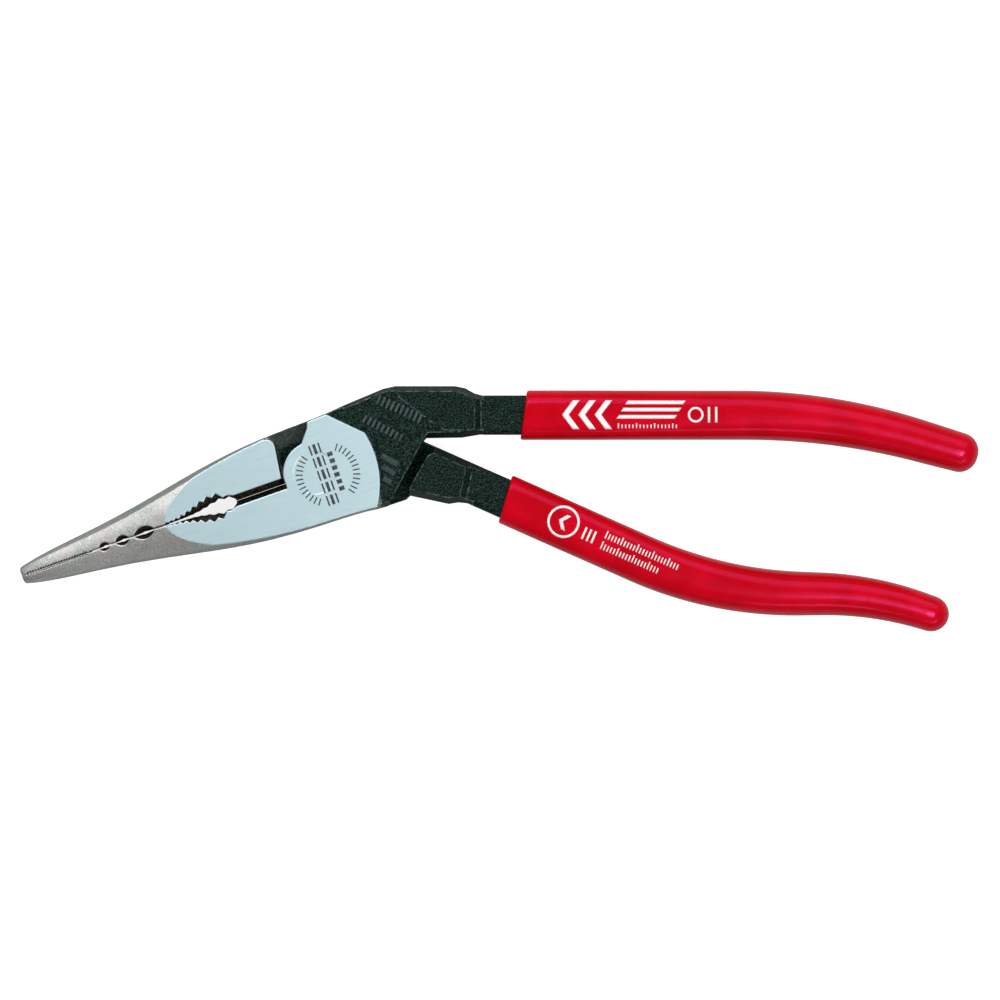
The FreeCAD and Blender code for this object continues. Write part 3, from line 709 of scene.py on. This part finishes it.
# Raised marks on the forged neck: (start, end, count, height) of each row, (start, end) of each rib
stroke_rows = (((10.2, 12.3), (17.8, 8.85), 10, 1.7), ((7.9, 9.1), (14.6, 5.65), 9, 1.4))
stroke_width, stroke_round, stroke_rise, stroke_sink = 0.46, 0.13, 0.35, 0.2
ribs = (((10.9, 2.95), (13.9, 1.25)), ((11.0, 1.15), (13.4, -0.25)), ((11.2, -0.85), (12.8, -1.75)))
rib_width, rib_round, rib_rise, rib_sink = 1.15, 0.2, 0.22, 0.3


def forged_relief():
    """Raised strokes and ribs on the front lever's forged neck."""
    bm = bmesh.new()
    for start, end, count, tall in stroke_rows:
        start, end = Vector(start), Vector(end)
        along = (end - start).normalized()
        across = Vector((-along.y, along.x))
        for i in range(count):
            centre = start.lerp(end, (i + 0.5) / count)
            reach = across * tall / 2
            bar_mark(bm, centre - reach, centre + reach, stroke_width, forged_top - stroke_sink,
                     forged_top + stroke_rise, stroke_round)
    for start, end in ribs:
        bar_mark(bm, start, end, rib_width, forged_top - rib_sink, forged_top + rib_rise, rib_round)
    bmesh.ops.recalc_face_normals(bm, faces=bm.faces)
    return finished(bm, "forged_relief", relief_steel, "front_body")


upper_print()
lower_print()
laser_marks()
forged_relief()

# ------------------------------------------------------------------ floor, light and camera

floor_grey = (0.55, 0.55, 0.55, 1)
floor_glow = 0.85                      # seen by the camera alone, as a lit white sweep
room_light = 0.20

floor_mesh = bpy.data.meshes.new("floor")
bm = bmesh.new()
bmesh.ops.create_grid(bm, x_segments=1, y_segments=1, size=3.0)
bm.to_mesh(floor_mesh)
bm.free()
floor = bpy.data.objects.new("floor", floor_mesh)
bpy.context.scene.collection.objects.link(floor)
floor_paint, tree, shader = new_material("floor_paint")
shader.inputs["Base Color"].default_value = floor_grey
shader.inputs["Roughness"].default_value = 0.9
shader.inputs["Specular IOR Level"].default_value = 0.0
shader.inputs["Emission Color"].default_value = (1, 1, 1, 1)
seen = add(tree, "ShaderNodeLightPath").outputs["Is Camera Ray"]
tree.links.new(maths(tree, "MULTIPLY", seen, floor_glow), shader.inputs["Emission Strength"])
floor_mesh.materials.append(floor_paint)


def soft_light(name, place, target, size, power):
    data = bpy.data.lights.new(name, "AREA")
    data.shape = "RECTANGLE"
    data.size, data.size_y = size
    data.energy = power
    light = bpy.data.objects.new(name, data)
    light.location = place
    aim = Vector(target) - Vector(place)
    light.rotation_euler = aim.to_track_quat("-Z", "Y").to_euler()
    bpy.context.scene.collection.objects.link(light)


view_centre = Vector((30.67 * MM, -4.5 * MM, middle * MM))
camera_height = 0.6944                 # from the tool's middle, in metres

studio_lights = (                      # name, place from the tool's middle and size in metres, watts
    ("overhead", (-0.25, 0.42, 0.88), (0.5, 0.35), 2.6),
    ("crown_strip", (0.30, -0.13, 0.95), (0.3, 0.06), 2.6),
    ("back_box", (0.05, 0.65, 0.75), (1.4, 0.6), 4.6),
    ("front_strip", (0.32, -0.60, 0.55), (0.6, 0.03), 1.0),
)
for name, place, size, power in studio_lights:
    soft_light(name, view_centre + Vector(place), view_centre, size, power)

world = bpy.data.worlds.new("studio")
bpy.context.scene.world = world
world.use_nodes = True
world.node_tree.nodes["Background"].inputs["Color"].default_value = (1, 1, 1, 1)
world.node_tree.nodes["Background"].inputs["Strength"].default_value = room_light

camera_data = bpy.data.cameras.new("camera")
camera_data.lens = 150
camera_data.sensor_width = 36
camera_data.clip_start = 0.01
camera = bpy.data.objects.new("camera", camera_data)
camera.location = view_centre + Vector((0, 0, camera_height))
bpy.context.scene.collection.objects.link(camera)
bpy.context.scene.camera = camera
bpy.context.scene.view_settings.view_transform = "Standard"
